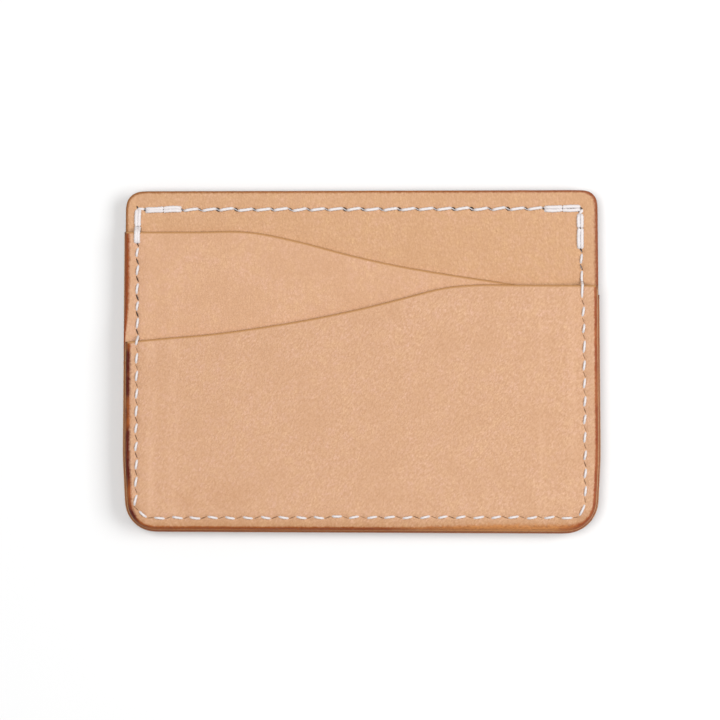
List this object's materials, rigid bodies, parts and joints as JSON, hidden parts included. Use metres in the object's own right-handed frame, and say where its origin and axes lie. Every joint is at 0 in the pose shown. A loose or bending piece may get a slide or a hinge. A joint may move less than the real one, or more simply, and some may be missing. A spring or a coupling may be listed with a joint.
{
  "type": "card holder",
  "caption": "Slim leather card holder with stepped card pockets on both faces, sewn along the top and round the sides and bottom with white thread.",
  "frame": {"origin": "under the middle of the holder, in the plane of its rear face, which is the bottom of its bounding box as it lies", "axes": "+X to the right along the width, +Y towards the closed top edge, +Z out of the front face"},
  "size_m": [0.1016, 0.0734, 0.0074],
  "materials": {
    "leather": "undyed vegetable-tanned cowhide, smooth grain side out, matt to satin, with burnished brown edges",
    "thread": "white bonded sewing thread, lightly twisted"
  },
  "bodies": {
    "root": {"front_panel": "leather", "rear_panel": "leather", "front_upper_pocket": "leather", "front_lower_pocket": "leather", "rear_upper_pocket": "leather", "rear_lower_pocket": "leather", "top_seam_needle_thread": "thread", "top_seam_bobbin_thread": "thread", "pocket_seam_needle_thread": "thread", "pocket_seam_bobbin_thread": "thread"}
  },
  "joints": []
}
